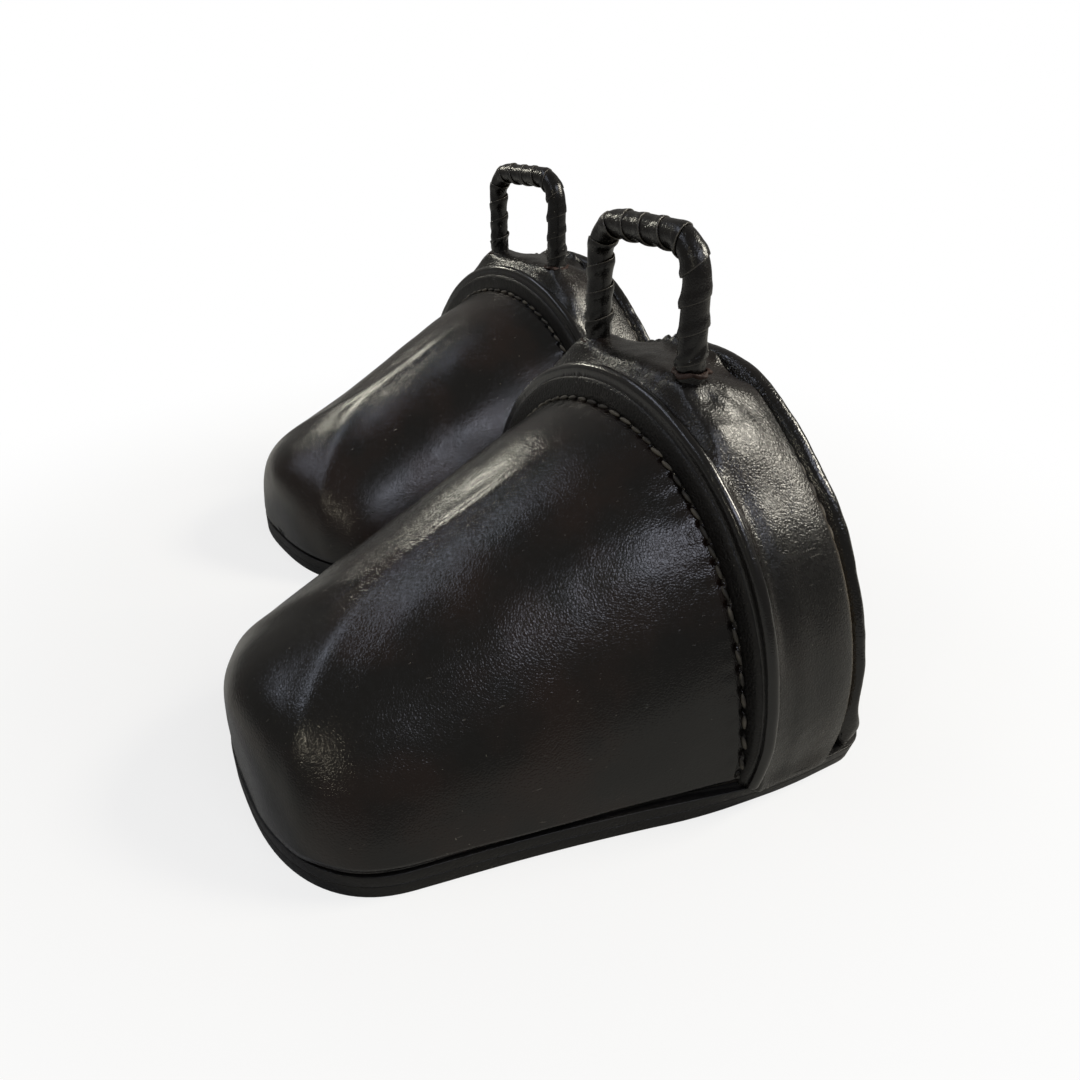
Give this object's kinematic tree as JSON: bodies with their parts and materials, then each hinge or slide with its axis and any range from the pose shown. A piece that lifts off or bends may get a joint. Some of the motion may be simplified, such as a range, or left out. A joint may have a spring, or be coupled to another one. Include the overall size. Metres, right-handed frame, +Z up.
{
  "type": "pair of hooded stirrups",
  "caption": "Pair of hooded riding stirrups: an iron arch covered in black leather, with a moulded toe hood, a stitched seam, a leather sole and a wrapped loop for the stirrup strap.",
  "frame": {"origin": "on the ground, at the middle of the box round the pair", "axes": "+Z up, toes towards -Y, +X towards the rider's left"},
  "size_m": [0.2992, 0.2142, 0.1407],
  "materials": {
    "black_leather": "black full-grain leather with a dull polish and a fine pebbled grain",
    "hood_leather": "black moulded leather, polished, slightly brown where it is worn",
    "wrap_leather": "thin black leather strip, wound with overlapping turns",
    "raw_leather": "rough cut leather, dyed black over brown",
    "lining_leather": "plain dark lining leather",
    "sole_leather": "thick black sole leather with a smooth edge",
    "board": "dark fibre board, set back in the sole's gap",
    "thread": "waxed thread",
    "black_iron": "forged iron, left dark",
    "steel": "plain steel"
  },
  "bodies": {
    "left_stirrup": {"left_iron_arch": "black_iron", "left_tread_plate": "black_iron", "left_tread_rivets": "steel", "left_hanger_loop": "black_iron", "left_loop_wrap": "wrap_leather", "left_leg_collars": "raw_leather", "left_arch_band": "black_leather", "left_front_piping": "black_leather", "left_front_rand": "black_leather", "left_hood": "hood_leather", "left_front_seam": "thread", "left_rear_welt": "black_leather", "left_rear_seam": "thread", "left_arch_lining": "lining_leather", "left_tread_pad": "lining_leather", "left_insole": "lining_leather", "left_lasting_board": "board", "left_midsole": "sole_leather", "left_outsole": "sole_leather", "left_sole_tacks": "steel"},
    "right_stirrup": {"right_iron_arch": "black_iron", "right_tread_plate": "black_iron", "right_tread_rivets": "steel", "right_hanger_loop": "black_iron", "right_loop_wrap": "wrap_leather", "right_leg_collars": "raw_leather", "right_arch_band": "black_leather", "right_front_piping": "black_leather", "right_front_rand": "black_leather", "right_hood": "hood_leather", "right_front_seam": "thread", "right_rear_welt": "black_leather", "right_rear_seam": "thread", "right_arch_lining": "lining_leather", "right_tread_pad": "lining_leather", "right_insole": "lining_leather", "right_lasting_board": "board", "right_midsole": "sole_leather", "right_outsole": "sole_leather", "right_sole_tacks": "steel"}
  },
  "joints": [
    {"name": "right_stirrup_lift", "type": "slide", "parent": "left_stirrup", "child": "right_stirrup", "axis": [0, 0, 1], "range_m": [0, 0.25]}
  ]
}
